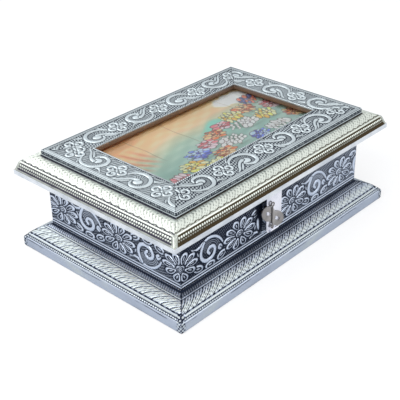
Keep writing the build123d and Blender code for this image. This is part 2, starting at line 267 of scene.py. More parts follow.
class Relief:
    """An embossed surface that is built up shape by shape.

    Its height is 0 in the ground and 1 on full ridges, its tone is 0 where the foil is black, with tarnish
    and painted shade, and 1 where it is polished, and its painted reflection is 1 where brown reflection is
    painted.
    """

    def __init__(self, height, tone):
        self.height = height
        self.tone = tone
        self.stain = np.zeros(np.shape(tone))

    def darken(self, amount):
        """Take a share of the tone away."""
        self.tone = self.tone * (1 - clip01(amount))

    def lighten(self, amount):
        """Move the tone towards polished foil by a share, or away from it by a share below 0."""
        self.tone = self.tone + amount * (1 - self.tone)

    def plain(self, share, height, tone):
        """Lay a surface of its own height and tone over the shapes where share is 1."""
        self.height = self.height * (1 - share) + height * share
        self.tone = self.tone * (1 - share) + tone * share

    def raise_up(self, out, height=1.0, tone=1.0, edge=0.4, flat=0.0):
        """A rounded shape whose edge is where out is 1, with a blackened outline that is edge wide.

        Its section is a half circle, or flatter on top where flat is more than 0.
        """
        inside = out < 1
        dome = np.sqrt(clip01(1 - clip01((out - flat) / (1 - flat)) ** 2))
        outline = smooth(edge, 0.4 * edge, out - 1) * ~inside
        self.darken(0.95 * outline)
        raised = np.maximum(self.height * 0.3, height * dome)
        self.height = np.where(inside, raised, self.height * (1 - 0.7 * outline))
        # Inside the shape the tone falls towards its edge: partly tarnish near the edge, partly painted shade
        # on the dome's flanks
        self.tone = np.where(inside, tone * (0.42 + 0.58 * smooth(0.0, 0.75, dome)), self.tone)

    def sink(self, out, kept, dark, full):
        """A hollow whose edge is where out is 1: it keeps a share of the height, and is dark within full."""
        self.darken(dark * smooth(1.2, full, out))
        self.height = np.where(out < 1, self.height * kept, self.height)

    def line(self, distance, half, height, tone, edge):
        """A straight ridge at a distance from its middle line."""
        self.raise_up(np.abs(distance) / half, height, tone, edge / half)

    def strokes(self, x, y, table):
        """Raise the strokes of a table: each has its line, its half widths and what raise_up takes."""
        for line, halves, *look in table:
            self.raise_up(stroke(x, y, line, halves), *look)

    def beads(self, p, away, pitch, half_along, half_across, tone=1.0, edge=0.3):
        """A row of domes, pitch apart along p, at a distance from the row's middle line."""
        self.raise_up(oval(nearest(p, pitch), away, half_along, half_across), 0.9, tone, edge)

    def seam(self, s, width=0.7, dark=0.65):
        """Two sides of a band meet in a thin dark seam: height and tone fall towards the side's end."""
        away = from_mitre(s)
        self.height = self.height * (0.85 + 0.15 * smooth(0.0, width, away))
        self.darken(dark * smooth(0.7 * width, 0.0, away))


def hatched(x, y, pitch, slope, level, depth):
    """Ground of fine leaning lines, broken into dashes: one cosine across them and one along."""
    lines = np.cos(2 * np.pi * (x + slope * y) / pitch)
    dashes = np.cos(2 * np.pi * (y - 0.3 * x) / (1.2 * pitch) + 0.8 * np.sin(x / 3.1))
    ripple = smooth(-0.8, 0.8, 0.7 * lines + 0.6 * dashes)
    return Relief(0.14 * ripple, clip01(level + depth * (ripple - 0.5)))


# Lines of the wall's scroll, in millimetres from the middle between two flowers
WALL_ARC = curve([(-20.4, 10.4), (-17.2, 8.6), (-12.6, 8.6), (-8.0, 10.8), (-1.3, 12.2), (5.3, 10.4),
                  (10.4, 6.2), (13.2, 1.8)])
WALL_CURL = curve([(-7.2, 10.2), (-10.0, 5.2), (-10.6, 0.0), (-8.0, -4.4), (-3.0, -6.2), (2.2, -4.6),
                   (4.4, -0.4), (2.8, 3.2), (-1.2, 3.9), (-3.4, 1.2), (-1.6, -1.2)])
WALL_BUD = curve([(12.4, -1.2), (9.8, 0.8), (8.6, -1.2), (10.4, -2.6)])
WALL_TENDRIL = curve([(-14.6, 5.0), (-13.6, 1.8), (-14.4, -1.4)])

# Each stroke's line, its half widths from start to end, and its height, tone, outline and flat top
WALL_STROKES = (
    (WALL_TENDRIL, (0.4, 0.9, 0.4), 0.7, 0.85, 0.9),
    (WALL_BUD, (0.8, 1.2, 1.2), 0.8, 0.9, 0.7),
    (WALL_ARC, (0.5, 1.1, 1.1, 1.2, 1.1, 0.8), 0.85, 0.95, 0.6, 0.3),
    (WALL_CURL, (1.2, 1.6, 1.7, 1.6, 1.4, 1.3), 1.0, 0.95, 0.5, 0.4),
)

# Place and tilt of the wall's seeds
WALL_SEEDS = ((-13.9, -8.7, -0.30), (-0.9, -10.9, 0.0), (11.6, -8.5, 0.32))

# Lines of the frame's scroll and of one flower petal
RIM_ARC = curve([(-13.4, 2.4), (-11.6, 5.0), (-8.8, 7.4), (-3.4, 9.2), (3.2, 8.2), (7.8, 3.9), (9.3, -1.7),
                 (6.9, -7.0), (1.4, -8.8), (-2.8, -7.0), (-4.2, -4.0)])
RIM_STEM = curve([(-17.6, -10.2), (-13.4, -7.6), (-9.4, -3.4), (-5.2, -0.4), (-1.6, 0.6)])
RIM_STEM_UNDER = curve([(-12.6, -9.8), (-9.4, -7.0), (-6.4, -4.2)])
RIM_LEAF = curve([(6.4, 6.6), (10.6, 6.4), (15.0, 9.4)])
RIM_SPRIG = curve([(-12.4, 6.4), (-10.8, 9.0), (-9.6, 10.4)])
RIM_PETAL = curve([(1.0, -0.9), (3.0, -2.7), (6.2, -3.1), (8.4, -0.9), (7.8, 1.9), (5.2, 2.9), (3.3, 1.2),
                   (4.6, -0.2)])
RIM_STROKES = (
    (RIM_SPRIG, (0.9, 0.7, 0.3), 0.8, 0.85, 0.9, 0.3),
    (RIM_LEAF, (1.5, 1.1, 0.3), 0.9, 0.85, 0.7, 0.5),
    (RIM_STEM_UNDER, (0.5, 1.0, 0.8), 0.8, 0.85, 0.8, 0.4),
    (RIM_STEM, (0.6, 1.05, 1.15, 1.6), 0.9, 0.88, 0.65, 0.5),
    (RIM_ARC, (0.8, 1.1, 1.5, 1.7, 1.6, 1.25, 0.7), 1.0, 0.88, 0.55, 0.55),
)
PETAL_STROKES = ((RIM_PETAL, (0.5, 0.85, 1.0, 1.0, 0.95, 0.85), 0.95, 0.92, 0.85, 0.35),)


def large_flower(relief, x, y, petals=10, half_x=18.3, half_y=12.5):
    """A ring of petals round a heart, stretched to an ellipse.

    The ring is cut into equal sectors. Each holds a petal, an oval that narrows towards the heart, with a
    sunk slot and a thin tongue in the slot. The heart is a dome with a dark ring and a dark slit.
    """
    px, py = x / half_x, y / half_y
    out, angle = np.hypot(px, py), nearest(np.arctan2(py, px), 2 * np.pi / petals)
    u, v = out * np.cos(angle), out * np.sin(angle)
    petal = oval(u - 0.65, v, 0.36, 0.222 - 0.145 * clip01((0.80 - u) / 0.55))
    relief.raise_up(petal, 1.0, 1.0, 0.32, 0.6)
    relief.sink(oval(u - 0.63, v, 0.235, 0.128 - 0.080 * clip01((0.78 - u) / 0.4)), 0.35, 0.98, 0.95)
    relief.raise_up(oval(u - 0.66, v, 0.15, 0.036), 0.7, 0.9, 0.1, 0.3)
    heart = oval(px, py, 0.23, 0.23)
    relief.raise_up(heart, 0.85, 0.95, 0.2, 0.6)
    relief.darken(0.9 * smooth(0.20, 0.08, np.abs(heart - 0.62)))
    relief.darken(0.85 * smooth(1.2, 0.7, oval(px, py, 0.11, 0.045)))


def wall_ornament(p, v, pitch):
    """Flowers at every repeat along p, a scroll between them with three seeds, flipped every other time."""
    relief = hatched(p, v, 1.9, 0.55, 0.2, 0.5)
    x, y = between_flowers(p, v, pitch)
    ribs = np.cos(2 * np.pi * oval(x + 0.5, y + 1.0, 1.3, 1.3 / 0.9))
    fan = oval(x - 0.5, y - 5.6, 9.4, 6.4) < 1
    relief.tone = np.where(fan, 0.36 + 0.30 * ribs, relief.tone)
    relief.strokes(x, y, WALL_STROKES)
    for dx, dy, tilt in WALL_SEEDS:
        along, across = turned(x - dx, y - dy, tilt)
        relief.raise_up(oval(along, across, 5.6, 3.3), 0.95, 1.0, 0.26, 0.4)
        relief.sink(oval(along, across, 3.6, 1.75), 0.4, 0.93, 0.85)
        relief.raise_up(oval(along, across, 2.3, 0.75), 0.7, 0.85, 0.35)
    large_flower(relief, nearest(p, pitch), v)
    return relief


def small_flower(relief, x, y):
    """Four curled petals round a button, all curling the same way."""
    for quarter in range(4):
        relief.strokes(*turned(x, y, np.pi / 2 * quarter), PETAL_STROKES)
    relief.raise_up(np.hypot(x, y) / 1.1, 0.8, 0.95, 0.7)


def rim_ornament(p, v, pitch):
    """Small flowers at every repeat along p, a scroll round a knob between them, flipped every other time."""
    relief = hatched(p, v, 2.2, -0.35, 0.40, 0.95)
    x, y = between_flowers(p, -v, pitch)
    rays = np.cos(26 * np.arctan2(y + 1.4, x - 0.6))
    relief.tone = np.where(oval(x - 0.6, y + 1.4, 8.0, 9.4) < 1, 0.40 + 0.42 * rays, relief.tone)
    relief.raise_up(oval(x - 0.4, y + 1.7, 3.9, 3.5), 1.0, 1.0, 0.26, 0.2)
    relief.strokes(x, y, RIM_STROKES)
    small_flower(relief, nearest(p, pitch), v)
    return relief


def leaves(relief, s, away, half, lean, pitch, depth, broken):
    """Thin bowed grooves across a band, like the veins of leaves laid one over the next.

    One cosine follows a line that leans and bends across the band, a second leans the other way and
    breaks the first into strokes, and a third, much longer, groups the strokes into leaves.
    """
    bent = s + lean * away + 0.10 * away ** 2
    veins = np.cos(2 * np.pi * bent / pitch)
    crossing = np.cos(2 * np.pi * (s - 0.6 * away) / (1.45 * pitch) + 0.9 * np.sin(2 * np.pi * away / 4.3))
    group = np.cos(2 * np.pi * bent / (3 * pitch))
    groove = smooth(0.1, -0.75, veins) * (1 - broken * (1 - crossing)) + 0.35 * smooth(-0.5, -1.0, group)
    relief.plain(smooth(half, half - 0.6, np.abs(away)), 0.85 - 0.6 * groove,
                 1 - depth * clip01(groove) - 0.06 * crossing)


def spaced(points, step):
    """The same line of points, spread evenly at about the given step along its length."""
    p = np.array(points, float)
    run = np.concatenate([[0], np.cumsum(np.hypot(*np.diff(p, axis=0).T))])
    even = np.linspace(0, run[-1], max(2, int(round(run[-1] / step)) + 1))
    return np.column_stack([np.interp(even, run, p[:, 0]), np.interp(even, run, p[:, 1])]), even


def bow(start, middle, end, steps=12):
    """A bent line through three points: the parabola that is at the middle one halfway."""
    t = np.linspace(0, 1, steps)[:, None]
    start, middle, end = (np.array(p, float) for p in (start, middle, end))
    pull = 2 * middle - (start + end) / 2
    return (1 - t) ** 2 * start + 2 * t * (1 - t) * pull + t ** 2 * end


def put_mesh(name, points, faces, smooth_faces=0, **values):
    """An object from points, faces and values at the points; its first smooth_faces faces are smooth."""
    mesh = bpy.data.meshes.new(name)
    mesh.from_pydata(np.asarray(points) * MM, [], faces)
    mesh.polygons.foreach_set("use_smooth", np.arange(len(faces)) < smooth_faces)
    for key, value in values.items():
        kind, field = ("FLOAT_COLOR", "color") if value.shape[1] == 4 else ("FLOAT", "value")
        mesh.attributes.new(key, kind, "POINT").data.foreach_set(field, np.ravel(value).astype(np.float32))
    mesh.update()
    if mesh.validate():
        raise RuntimeError(f"{name} had faces that had to be mended")
    piece = bpy.data.objects.new(name, mesh)
    bpy.context.scene.collection.objects.link(piece)
    return piece


def closed_sheet(name, front, back, **values):
    """A thin closed sheet: a fine grid in front and, behind it, a coarse back with two points a row.

    Each row of points makes a ring, along the front and home over its two rear points, and quads join
    the rings. Fans of triangles close the foot and the head. Faces turn round if they point inwards.
    The rear points take the values of the grid's two ends.
    """
    rows, columns = front.shape[:2]
    half = columns // 2
    grid = np.arange(rows * columns).reshape(rows, columns)
    rear = rows * columns + np.arange(rows * 2).reshape(rows, 2)
    ring = np.column_stack([grid, rear[:, ::-1], grid[:, 0]])
    quads = np.stack([ring[:-1, :-1], ring[:-1, 1:], ring[1:, 1:], ring[1:, :-1]], -1)
    quads = np.swapaxes(quads, 0, 1).reshape(-1, 4)
    near = np.where(np.arange(columns - 1) < half, 0, 1)
    foot = np.stack([grid[0, 1:], grid[0, :-1], rear[0, near]], -1)
    head = np.stack([grid[-1, :-1], grid[-1, 1:], rear[-1, near]], -1)
    middles = [[grid[0, half], rear[0, 0], rear[0, 1]], [rear[-1, 0], grid[-1, half], rear[-1, 1]]]
    tris = np.vstack([foot, head, middles])
    middle = front[rows // 2, half]
    along = front[rows // 2, half + 1] - middle
    across = front[rows // 2 + 1, half] - middle
    way = 1 if np.dot(np.cross(along, across), middle - back[rows // 2].mean(axis=0)) > 0 else -1
    points = np.vstack([front.reshape(-1, 3), back.reshape(-1, 3)])
    faces = quads[:, ::way].tolist() + tris[:, ::way].tolist()
    spread = {key: np.vstack([value.reshape(rows * columns, -1), value[:, [0, -1]].reshape(rows * 2, -1)])
              for key, value in values.items()}
    return put_mesh(name, points, faces, (rows - 1) * (columns - 1), **spread)


def clad_side(name, side, inner, outer, section, stamp, relief, corner):
    """One mitred side of a band that runs round the box.

    The section gives, for each row, how far out it lies from inner (0) to outer (1) and how high.
    A point lies at that row's half sizes, pushed square to the section by the relief's height less 1.
    Within the corner's radius of an end, the point is drawn in towards the corner's centre, onto its arc.
    """
    step = sizes().grid / MM
    width = (outer[0] - inner[0] + outer[1] - inner[1]) / 2
    line, run = spaced([(share * width, z) for share, z in section], step)
    tangent = np.gradient(line, axis=0)
    tangent /= np.hypot(*tangent.T)[:, None]
    facing = 1 if np.sum(tangent[:, 0] - tangent[:, 1]) >= 0 else -1
    normal_out = -facing * tangent[:, 1:]
    normal_up = facing * tangent[:, :1]
    share = line[:, :1] / width
    half_x = inner[0] + share * (outer[0] - inner[0])
    half_y = inner[1] + share * (outer[1] - inner[1])
    face_x, face_y = SIDES[side]
    half_along, half_across = (half_x, half_y) if face_y else (half_y, half_x)
    columns = int(2 * np.max(half_along) / step) + 1
    t = np.linspace(-1, 1, columns)[None, :]
    s = t * half_along
    stamped = stamp(side, s, np.broadcast_to(run[:, None], s.shape))

    def placed(t, push):
        """Points at the shares t of the side, pushed out of the section by the given lengths."""
        end = half_along + push * normal_out
        away = half_across + push * normal_out
        past = np.maximum(np.abs(t) * end - end + corner, 0)
        drawn = corner / np.hypot(past, corner)
        along = np.sign(t) * (np.minimum(np.abs(t) * end, end - corner) + past * drawn)
        away = away - corner + corner * drawn
        height = line[:, 1:] + push * normal_up
        xyz = (along, face_y * away, height) if face_y else (face_x * away, along, height)
        return np.stack(np.broadcast_arrays(*xyz), -1)

    front = placed(t, (stamped.height - 1) * relief)
    back = placed(np.array([[-1.0, 1.0]]), np.full((len(run), 2), -SHEET_DEPTH))
    return closed_sheet(name, front, back, tone=stamped.tone, stain=stamped.stain)


def wall_stamp(side, s, v):
    """Walls: the ornament between two pairs of lines, and a plain border under the lid with a row of beads.

    The front is darker towards its left end, and carries a painted shadow of the clasp's strap beside the
    clasp.
    """
    start, way = WALL_TAPE[side]
    relief = wall_ornament(start + way * s, v - WALL_MIDDLE, sizes().wall_pitch / MM)
    relief.plain(smooth(WALL_BORDER, WALL_BORDER + 0.6, v), 0.4, 0.8)
    relief.beads(s, v - WALL_BEADS, 2.4, 1.0, 1.0, 1.0, 0.4)
    relief.plain(smooth(3.4, 3.0, v), relief.height, 0.05)
    for level in WALL_LINES:
        relief.line(v - level, 0.62, 0.75, 0.95, 0.55)
    if side == "front":
        relief.lighten(np.interp(s, (-80, 60), (-0.32, 0.12)))
        # Painted shadow of the clasp's strap: a dark patch on the wall left of the strap
        strap_shadow = smooth(-24.5, -22.5, s + 1.8 * np.cos(v / 4.6)) * smooth(-17.0, -18.0, s)
        relief.darken(0.95 * strap_shadow * smooth(5.0, 8.0, v - 0.4 * (s + 20)) * smooth(34.0, 33.0, v))
    relief.plain(smooth(1.6, 0.4, from_mitre(s)), 0.6, relief.tone)
    return relief


def rim_stamp(side, s, v):
    """Frame: inner face with painted shade and a painted brown reflection, rope, flowers and scrolls, dashed
    line, ribs and mottled outer face.
    """
    across = v - RIM_INNER_FACE
    way = -1 if side in ("back", "left") else 1
    relief = rim_ornament(way * s - RIM_FLOWER[side], RIM_MIDDLE - across, sizes().rim_pitch / MM)
    if side != "front":
        relief.lighten(0.16)
    relief.plain(smooth(2.6, 2.2, across), 0.5, 0.05)
    from_rope = across - RIM_ROPE
    relief.beads(way * s + 0.9 * from_rope, from_rope, 2.0, 0.84, 0.95)
    ribs = np.cos(2 * np.pi * across / 1.6)
    relief.plain(smooth(RIM_RIBS - 0.1, RIM_RIBS + 0.3, across), 0.55 + 0.2 * ribs, 0.72 + 0.16 * ribs)
    dashes = 0.6 + 0.4 * np.cos(2 * np.pi * s / 2.4)
    relief.darken(0.95 * smooth(0.6, 0.2, np.abs(across - RIM_RIBS)) * dashes)
    rub = np.cos(2 * np.pi * (s + 0.6 * across) / 2.3) * np.cos(2 * np.pi * (across - 0.3 * s) / 2.9)
    rub = rub + 0.6 * np.sin(1.7 * s + 1.3 * np.sin(0.31 * s)) * np.cos(1.1 * across + 0.7 * s)
    relief.plain(smooth(29.5, 29.9, across), 0.5 + 0.2 * rub, 0.26 + 0.34 * rub)
    relief.line(across - RIM_EDGE, 0.6, 0.9, 1.0, 0.7)
    relief.line(across - RIM_SKIRT, 0.5, 0.8, 0.8, 0.7)
    relief.seam(s)
    inner = across < 0.0
    relief.height = np.where(inner, 1.04, relief.height)
    # Painted shade down the inner face, darkest beside the glass
    relief.tone = np.where(inner, 0.12 + 0.34 * smooth(-4.6, -0.4, across), relief.tone)
    # Painted brown reflection over the inner face
    relief.stain = smooth(0.0, -1.2, across)
    return relief


def band_stamp(side, s, v):
    """Lid band: veined leaves, a scalloped line, a raised lip, beads in a groove and a plain foot.

    The foil is plain where it wraps round the mitres below the leaves.
    """
    front = side == "front"
    relief = Relief(np.full(s.shape, 0.6), np.full(s.shape, 0.8))
    leaves(relief, s, v - BAND_LEAVES, 4.9, 0.9, 2.9, 0.42 if front else 0.28, 0.38)
    # Painted shadow of the picture frame along the top of the band
    relief.darken(0.95 * smooth(1.9, 1.3, v))
    lip = v - (0.5 if side in ("left", "right") else -0.3)
    wave = BAND_SCALLOPS + 0.4 * np.cos(2 * np.pi * s / 7.5)
    relief.darken(0.85 * smooth(0.7, 0.3, np.abs(lip - wave)))
    relief.line(lip - BAND_LIP, 0.8, 0.7, 0.95, 0.1)
    relief.plain(smooth(13.7, 14.1, lip), 0.1, -0.1)
    relief.beads(s, v - BAND_BEADS, 2.3, 0.943, 1.0)
    relief.beads(s + 1.1, v - BAND_SMALL_BEADS, 2.3, 0.943, 0.7, 0.4 if front else 0.75)
    if front:
        relief.plain(smooth(20.6, 20.9, v), 1.0, 0.08)
    else:
        relief.plain(smooth(19.7, 20.1, v), 1.0, 0.46 + 0.1 * np.sin(s / 2.9) * np.sin(s / 7.7))
    relief.plain(smooth(3.6, 2.2, from_mitre(s)) * smooth(12.0, 13.5, v), 0.6, 0.72)
    relief.seam(s, 0.7, 0.3)
    return relief


def plinth_stamp(side, s, v):
    """Plinth: a ribbed cove, veined leaves between two raised lines, a row of beads and a creased edge.

    The front's upper slope carries painted shade and a painted reflection of the dark wall, and the foil is
    crumpled below the leaves near the mitres.
    """
    relief = Relief(np.full(s.shape, 0.6), np.full(s.shape, 0.55))
    flutes = np.cos(2 * np.pi * (s + 0.5 * v) / 2.2)
    relief.plain(smooth(6.4, 6.0, v), 0.4 + 0.2 * flutes, 0.44 + 0.22 * flutes)
    relief.darken(0.97 * smooth(3.2, 2.5, v) * smooth(0.8, 1.5, v))
    leaves(relief, s, v - PLINTH_LEAVES, 4.9, -1.7 if side == "left" else 1.7, 3.1, 0.85, 0.3)
    relief.line(v - PLINTH_UPPER_LINE, 0.6, 0.8, 0.9, 0.6)
    dashed = 0.75 + 0.25 * np.cos(2 * np.pi * s / 5.5)
    relief.darken(dashed * smooth(0.9, 0.4, np.abs(v - 16.8)))
    relief.line(v - PLINTH_LOWER_LINE, 0.7, 0.8, 0.9, 0.4)
    if side == "front":
        # Painted shade and a painted reflection of the dark wall, in patches over the front's upper slope
        shade_and_reflection = 0.5 + 0.25 * np.sin(s / 9.0) + 0.25 * np.sin(s / 23.0 + 2.0)
        relief.darken((0.26 + 0.34 * shade_and_reflection) * smooth(13.5, 8.5, v))
    relief.plain(smooth(19.3, 19.6, v), 0.2, -0.1)
    relief.beads(s, v - PLINTH_BEADS, 2.2, 0.902, 0.75, 0.85)
    dull = 0.07 * np.sin(s / 21.0 + 0.6) + 0.04 * np.sin(s / 6.5 + 0.4 * v)
    relief.plain(smooth(21.2, 21.5, v), 0.75, 0.64 + dull - 0.12 * smooth(27.0, 31.5, v))
    crease = smooth(0.5, 0.2, np.abs(v - PLINTH_CREASE - 0.25 * np.sin(s / 7.0)))
    relief.darken(0.8 * crease * smooth(-0.1, 0.3, np.sin(s / 11.0 + 1.0) + 0.4 * np.sin(s / 3.7)))
    relief.seam(s, 1.9 + 0.6 * np.sin(1.7 * v) + 0.4 * np.sin(4.1 * v), np.where(v < 20.5, 0.95, 0.35))
    crumple = 0.5 * np.sin(2.3 * v + 1.1 * s) + 0.5 * np.sin(2.1 * s - 1.3 * v + 0.8 * np.sin(v))
    crumpled = smooth(6.5, 2.0, from_mitre(s)) * smooth(14.5, 18.0, v)
    # The crumples are raised in the sheet too; in the tone their crests get painted highlights and their
    # folds painted shade
    relief.tone = clip01(relief.tone + crumpled * (0.75 * crumple - 0.2))
    relief.height = clip01(relief.height + 0.3 * crumpled * crumple)
    return relief


def paint(red, green, blue):
    """A colour as it looks on a screen, 0 to 255, as the linear numbers that a shader takes."""
    c = np.array([red, green, blue], float) / 255
    return tuple(np.where(c < 0.04045, c / 12.92, ((c + 0.055) / 1.055) ** 2.4)) + (1.0,)


class Value:
    """A shader socket that takes part in sums: each operator adds one Math node."""

    def __init__(self, finish, socket):
        self.finish = finish
        self.socket = socket

    def maths(self, operation, *terms):
        node = self.finish.node("ShaderNodeMath", {"operation": operation}, *terms)
        return Value(self.finish, node.outputs[0])

    def __or__(self, other):
        return self.maths("MAXIMUM", self, other)

    def __add__(self, other):
        return self.maths("ADD", self, other)

    def __sub__(self, other):
        return self.maths("SUBTRACT", self, other)

    def __rsub__(self, other):
        return self.maths("SUBTRACT", other, self)

    def __mul__(self, other):
        return self.maths("MULTIPLY", self, other)

    __radd__ = __add__
    __rmul__ = __mul__

    def between(self, low, high):
        """0 at low and 1 at high, smooth at both ends."""
        node = self.finish.node("ShaderNodeMapRange", {"interpolation_type": "SMOOTHSTEP"},
                                **{"Value": self, "From Min": low, "From Max": high})
        return Value(self.finish, node.outputs[0])


class Nodes:
    """A node tree that is built node by node."""

    def __init__(self, tree):
        self.tree = tree
        tree.nodes.clear()

    def node(self, kind, settings=None, *terms, **sockets):
        """Any node: its settings first, then the numbers or links of its sockets, by their order or name."""
        node = self.tree.nodes.new(kind)
        for key, value in (settings or {}).items():
            setattr(node, key, value)
        for place, value in list(enumerate(terms)) + list(sockets.items()):
            self.feed(node.inputs[place], value)
        return node

    def feed(self, socket, value):
        """Link a socket to another, or set it to a number or a colour."""
        value = value.socket if isinstance(value, Value) else value
        if isinstance(value, bpy.types.NodeSocket):
            self.tree.links.new(value, socket)
        else:
            socket.default_value = value

    def seen(self):
        """1 for rays from the camera, off gloss and through glass, and 0 for the rest."""
        path = self.node("ShaderNodeLightPath")
        camera, gloss, glass = (Value(self, path.outputs[f"Is {ray} Ray"])
                                for ray in ("Camera", "Glossy", "Transmission"))
        return camera | (gloss | glass)

    def blend(self, share, first, second):
        """A mix of two shader nodes."""
        return self.node("ShaderNodeMixShader", {}, share, first.outputs[0], second.outputs[0]).outputs[0]


class Finish(Nodes):
    """A material's nodes, round one Principled shader."""

    def __init__(self, name, **plain):
        self.material = bpy.data.materials.new(name)
        self.material.use_nodes = True
        super().__init__(self.material.node_tree)
        self.shader = self.node("ShaderNodeBsdfPrincipled", {}, **plain)
        self.output = self.node("ShaderNodeOutputMaterial", {}, Surface=self.shader.outputs[0])

    def attribute(self, name, output="Fac"):
        """A piece's own value at each point."""
        return Value(self, self.node("ShaderNodeAttribute", {"attribute_name": name}).outputs[output])

    def noise(self, scale, detail=3.0, stretch=(1, 1, 1)):
        """Noise on Object coordinates, which are stretched so that its grain runs along one axis."""
        where = self.node("ShaderNodeTexCoord").outputs["Object"]
        place = self.node("ShaderNodeMapping", {}, Vector=where, Scale=stretch).outputs[0]
        node = self.node("ShaderNodeTexNoise", {}, Vector=place, Scale=scale, Detail=detail)
        return Value(self, node.outputs[0])

    def mix(self, share, first, second):
        """The first colour where share is 0 and the second where it is 1."""
        node = self.node("ShaderNodeMix", {"data_type": "RGBA"})
        for place, value in ((0, share), (6, first), (7, second)):
            self.feed(node.inputs[place], value)
        return node.outputs[2]

    def bump(self, height, depth, strength):
        """Relief in the shader's normal, with a depth in metres."""
        node = self.node("ShaderNodeBump", {}, Strength=strength, Distance=depth, Height=height)
        self.feed(self.shader.inputs["Normal"], node.outputs[0])

    def coat(self, share, first, second, **sockets):
        """Give the shader a mix of two colours, and its other sockets what they are named with."""
        sockets["Base Color"] = self.mix(share, first, second)
        for key, value in sockets.items():
            self.feed(self.shader.inputs[key], value)


def shaded(colour, share):
    """A share of a colour's light."""
    return tuple(min(c * share, 1.0) for c in colour) + (1.0,)


def foil(name, raised, dull, grooves=None):
    """Embossed foil: the tone attribute goes from the grooves through a dull shade to the raised shade.

    Noise mottles the tone, so that polish and tarnish come in patches, and a second attribute lays a painted
    brown reflection over it. The grooves are tarnished where no colour is given for them.
    """
    f = Finish(name, **{"Specular IOR Level": 0.1, "Specular Tint": (0.45, 0.48, 0.54, 1)})
    mottle = f.noise(55.0, 4.0)
    grain = f.noise(900.0, 2.0)
    tone = f.attribute("tone") + (mottle - 0.5) * 0.24 + (grain - 0.5) * 0.16
    low = tone.between(0.04, 0.62)
    high = tone.between(0.58, 1.0)
    f.bump(grain * 0.6 + f.noise(240.0, 3.0), 0.00012, 0.5)
    clean = f.mix(high, f.mix(low, grooves or shaded(colours().tarnish, 1), dull), raised)
    # The brown laid over by the second attribute is a painted reflection
    f.coat(f.attribute("stain") * 0.7, clean, BROWN_REFLECTION,
           Metallic=low * 0.3 + 0.5, Roughness=0.63 - low * 0.3 + (mottle - 0.5) * 0.12)
    return f.material


def lay(piece, material, body, node):
    """Give a new piece its material, the body that carries it and the node that it stands for."""
    piece.data.materials.append(material)
    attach(piece, body)
    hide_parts(node)


def dress(finish, *names):
    """Put a finish's material on CAD nodes."""
    for name in names:
        node = bpy.data.objects[name]
        if not node.material_slots:
            node.data.materials.append(finish.material)
        for place in node.material_slots:
            place.material = finish.material


def clad(band, section, stamp, relief, material, sides=SIDES):
    """Cover sides of a band with embossed sheets, which stand for its CAD foils."""
    body, inner, outer, corner = BANDS[band]
    for side in sides:
        piece = clad_side(f"embossed_{band}_{side}", side, inner, outer, section, stamp, relief / MM, corner)
        lay(piece, material, body, "wall_foil" if band == "wall" else f"{band}_foil_{side}")


def plinth_section():
    """From the wall outwards: a small cove, a bowed slope, an upright edge and a rounded foot."""
    width, cove_width, cove_depth, edge_top, foot, tuck = 17.6, 2.4, 1.6, 8.6, 1.6, 0.47
    cove = cove_width / width
    brim = PLINTH_TOP - cove_depth
    slope_middle = (0.5 + cove / 2 + 0.034, (brim + edge_top) / 2 + 1.0)
    return np.vstack([
        [(-0.05, PLINTH_TOP)],
        bow((0, PLINTH_TOP), (cove * 0.35, PLINTH_TOP - 1.2), (cove, brim)),
        bow((cove, brim), slope_middle, (1, edge_top))[1:],
        [(1, foot)],
        bow((1, foot), (1 - tuck / width, tuck), (1 - foot / width, 0.0))[1:],
    ])


def lid_section():
    """From the picture frame outwards and down: a cushioned slope, and a lip above the lid's plain edge."""
    width, lip_height, lip_width = 15.4, 6.5, 2.7
    lip = BAND_FOOT + lip_height
    end = 1 - lip_width / width
    return np.vstack([
        [(-0.06, BAND_TOP)],
        bow((0, BAND_TOP), (end * 0.52, (BAND_TOP + lip) / 2 + 0.9), (end, lip)),
        [(1.0, BAND_FOOT)],
    ])


def frame_section():
    """Up the inner face, over a small rounding, across the flat top, and over another to the outer face."""
    border = RIM[0] - OPENING[0]
    inner, outer = 0.6, 1.2
    return np.vstack([
        [(0, BAND_TOP - 0.1), (0, RIM_TOP - inner)],
        bow((0, RIM_TOP - inner), (0.18 / border, RIM_TOP - 0.18), (inner / border, RIM_TOP))[1:],
        bow((1 - outer / border, RIM_TOP), (1 - 0.35 / border, RIM_TOP - 0.35), (1, RIM_TOP - outer)),
        [(1, BAND_TOP - 0.8)],
    ])


class WallFoil(bpy.types.Operator):
    """Wrap the box walls in foil with large flowers, scrolls and seeds."""

    bl_idname = "photobox.wall_foil"
    bl_label = "Wall foil"

    def execute(self, context):
        material = foil("silver foil walls", shaded(colours().blue, 0.92), shaded(colours().blue, 0.50))
        clad("wall", [(1.0, WALL_FOOT), (1.0, WALL_TOP)], wall_stamp, sizes().wall_relief, material)
        return {"FINISHED"}


class PlinthFoil(bpy.types.Operator):
    """Cover the plinth's slope with veined leaves and its edge with plain foil."""

    bl_idname = "photobox.plinth_foil"
    bl_label = "Plinth foil"

    def execute(self, context):
        material = foil("pale foil plinth", shaded(colours().plinth, 0.70), shaded(colours().blue, 0.67))
        clad("plinth", plinth_section(), plinth_stamp, sizes().band_relief, material)
        return {"FINISHED"}


class LidFoil(bpy.types.Operator):
    """Cover the lid's sloping band with leaves and beads."""

    bl_idname = "photobox.lid_foil"
    bl_label = "Lid band foil"

    def execute(self, context):
        cream = colours().cream
        for side in SIDES:
            grooves = WARM_GROOVE if side == "front" else COOL_GROOVE
            material = foil(f"pale foil lid {side}", shaded(cream, 0.94), shaded(cream, 0.52), grooves)
            clad("lid", lid_section(), band_stamp, sizes().band_relief, material, [side])
        return {"FINISHED"}


class FrameFoil(bpy.types.Operator):
    """Wrap the picture frame in foil with curled flowers and scrolls."""

    bl_idname = "photobox.frame_foil"
    bl_label = "Frame foil"

    def execute(self, context):
        material = foil("silver foil frame", shaded(colours().silver, 1), shaded(colours().silver, 0.55))
        clad("frame", frame_section(), rim_stamp, sizes().rim_relief, material)
        return {"FINISHED"}


